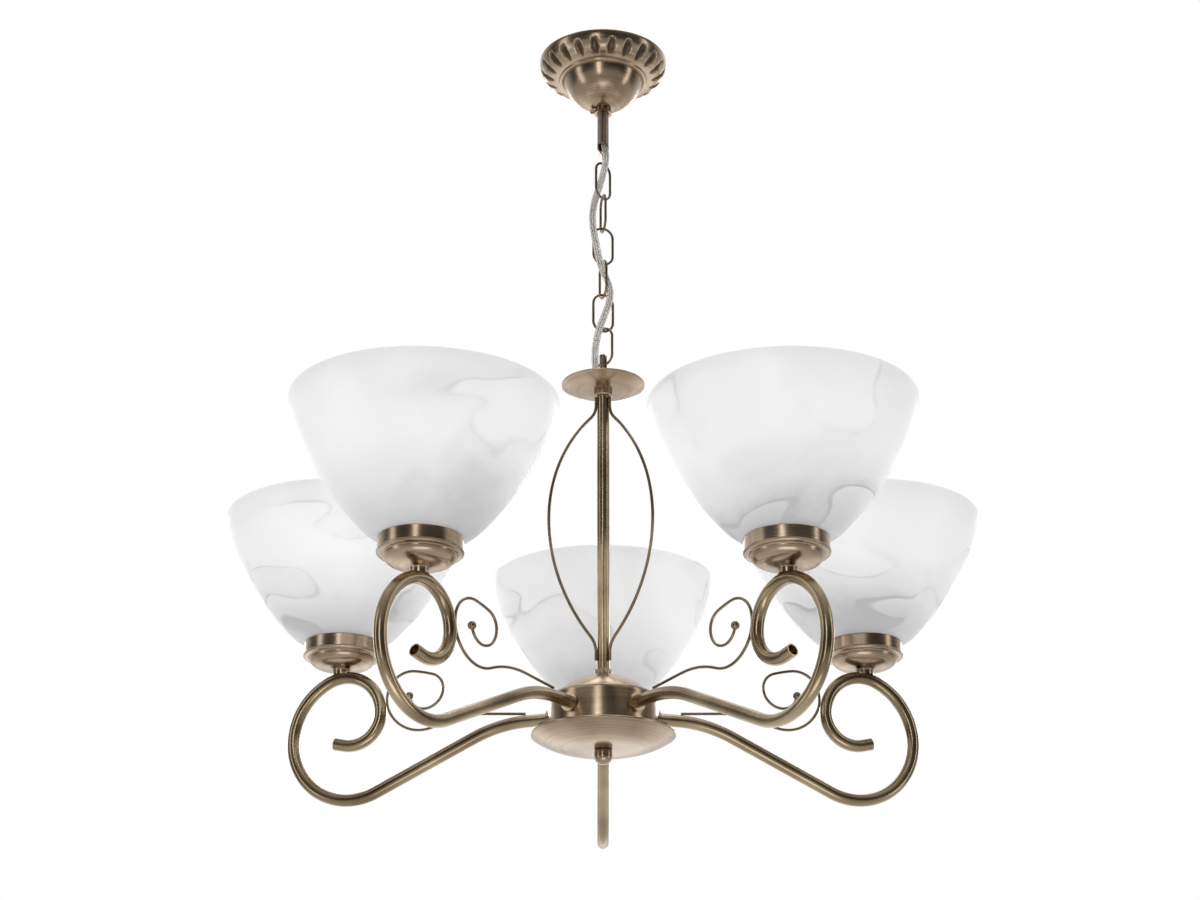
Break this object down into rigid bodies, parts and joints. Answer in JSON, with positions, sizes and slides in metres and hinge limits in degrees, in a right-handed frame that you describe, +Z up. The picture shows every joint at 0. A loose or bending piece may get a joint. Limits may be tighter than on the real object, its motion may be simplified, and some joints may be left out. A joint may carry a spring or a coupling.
{
  "type": "multi-arm pendant light",
  "caption": "Aged brass pendant light on a chain: curled arms round a central stem carry upward bell shades of white glass.",
  "frame": {"origin": "centre of the ceiling strap's two slots, in the ceiling plane, on the chain's axis", "axes": "+Z up into the ceiling, the light hangs along -Z; +X along the ceiling strap, -Y towards the viewer"},
  "size_m": [0.6974, 0.6742, 0.7159],
  "materials": {
    "aged_brass": "satin, darkened in the hollows",
    "alabaster_glass": "gloss, cloudy white veins",
    "clear_cord": "clear sheath over silvery cores",
    "zinc_steel": "zinc plated",
    "holder_plastic": "matt",
    "terminal_plastic": "matt"
  },
  "bodies": {
    "ceiling_mount": {"crossbar": "zinc_steel", "nipple": "zinc_steel", "lock_nuts": "zinc_steel", "hanger_tube": "aged_brass", "terminal_block": "terminal_plastic", "earth_screw": "zinc_steel", "supply_cord": "clear_cord"},
    "ceiling_cup": {"canopy": "aged_brass", "canopy_collar": "aged_brass"},
    "set_screw_body": {"set_screw": "aged_brass"},
    "link_1_body": {"link_1": "aged_brass"},
    "link_2_body": {"link_2": "aged_brass"},
    "link_3_body": {"link_3": "aged_brass"},
    "link_4_body": {"link_4": "aged_brass"},
    "link_5_body": {"link_5": "aged_brass"},
    "link_6_body": {"link_6": "aged_brass"},
    "fixture": {"coupler": "aged_brass", "coupler_pin": "aged_brass", "bobeche": "aged_brass", "stem_nut": "aged_brass", "stem": "aged_brass", "bow_wires": "aged_brass", "hub_dome": "aged_brass", "hub_drum": "aged_brass", "pan": "aged_brass", "tie_rod": "zinc_steel", "finial": "aged_brass", "hub_terminal_block": "terminal_plastic", "arm_collars": "aged_brass", "arm_nuts": "zinc_steel", "arm_wires": "clear_cord", "shade_rings": "holder_plastic", "arm_1": "aged_brass", "arm_2": "aged_brass", "arm_3": "aged_brass", "arm_4": "aged_brass", "arm_5": "aged_brass", "scroll_1": "aged_brass", "scroll_2": "aged_brass", "scroll_3": "aged_brass", "scroll_4": "aged_brass", "scroll_5": "aged_brass", "cup_1": "aged_brass", "cup_2": "aged_brass", "cup_3": "aged_brass", "cup_4": "aged_brass", "cup_5": "aged_brass", "lampholder_1": "holder_plastic", "lampholder_2": "holder_plastic", "lampholder_3": "holder_plastic", "lampholder_4": "holder_plastic", "lampholder_5": "holder_plastic", "shade_1": "alabaster_glass", "shade_2": "alabaster_glass", "shade_3": "alabaster_glass", "shade_4": "alabaster_glass", "shade_5": "alabaster_glass"}
  },
  "joints": [
    {"name": "cup_slide", "type": "slide", "parent": "ceiling_mount", "child": "ceiling_cup", "axis": [0, 0, 1], "range_m": [-0.03, 0]},
    {"name": "set_screw_turn", "type": "hinge", "parent": "ceiling_cup", "child": "set_screw_body", "pos_m": [0, 0, -0.05341], "axis": [-1, 0, 0], "range_deg": [0, 360]},
    {"name": "link_1_swing", "type": "hinge", "parent": "ceiling_mount", "child": "link_1_body", "pos_m": [0, 0, -0.113], "axis": [0, 1, 0], "range_deg": [-10, 10], "deforming": ["supply_cord"]},
    {"name": "link_2_swing", "type": "hinge", "parent": "link_1_body", "child": "link_2_body", "pos_m": [0, 0, -0.1473], "axis": [0.6947, 0.7193, 0], "range_deg": [-10, 10], "deforming": ["supply_cord"]},
    {"name": "link_3_swing", "type": "hinge", "parent": "link_2_body", "child": "link_3_body", "pos_m": [0, 0, -0.1818], "axis": [-0.2419, 0.9703, 0], "range_deg": [-10, 10], "deforming": ["supply_cord"]},
    {"name": "link_4_swing", "type": "hinge", "parent": "link_3_body", "child": "link_4_body", "pos_m": [0, 0, -0.2163], "axis": [0.9397, 0.342, 0], "range_deg": [-10, 10], "deforming": ["supply_cord"]},
    {"name": "link_5_swing", "type": "hinge", "parent": "link_4_body", "child": "link_5_body", "pos_m": [0, 0, -0.2508], "axis": [-0.3256, 0.9455, 0], "range_deg": [-10, 10], "deforming": ["supply_cord"]},
    {"name": "link_6_swing", "type": "hinge", "parent": "link_5_body", "child": "link_6_body", "pos_m": [0, 0, -0.2853], "axis": [0.9511, 0.309, 0], "range_deg": [-10, 10], "deforming": ["supply_cord"]},
    {"name": "fixture_swing", "type": "hinge", "parent": "link_6_body", "child": "fixture", "pos_m": [0, 0, -0.31725], "axis": [-0.5, -0.866, 0], "range_deg": [-10, 10], "deforming": ["supply_cord"]}
  ]
}
